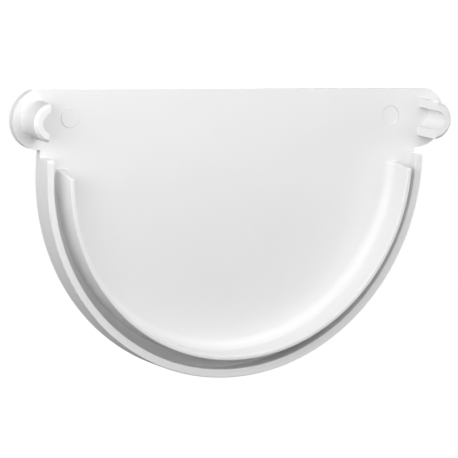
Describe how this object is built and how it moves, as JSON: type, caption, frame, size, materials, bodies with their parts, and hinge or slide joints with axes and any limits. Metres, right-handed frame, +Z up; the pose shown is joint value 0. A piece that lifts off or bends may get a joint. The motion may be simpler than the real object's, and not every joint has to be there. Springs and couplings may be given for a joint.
{
  "type": "gutter end cap",
  "caption": "Half-round plate with a straight top edge, two round ears with plugs, and two concentric rims that hold the cut end of a gutter.",
  "frame": {"origin": "centre of the round walls, on the face that the cut end of the gutter butts against", "axes": "+Z up as installed, X across the gutter, -Y along the gutter, the way the gutter leaves; +Y is the smooth outside of the cap"},
  "size_m": [0.1438, 0.0116, 0.0848],
  "materials": {
    "white_pvc": "satin white moulded plastic"
  },
  "bodies": {
    "root": {"end_cap": "white_pvc"}
  },
  "joints": []
}
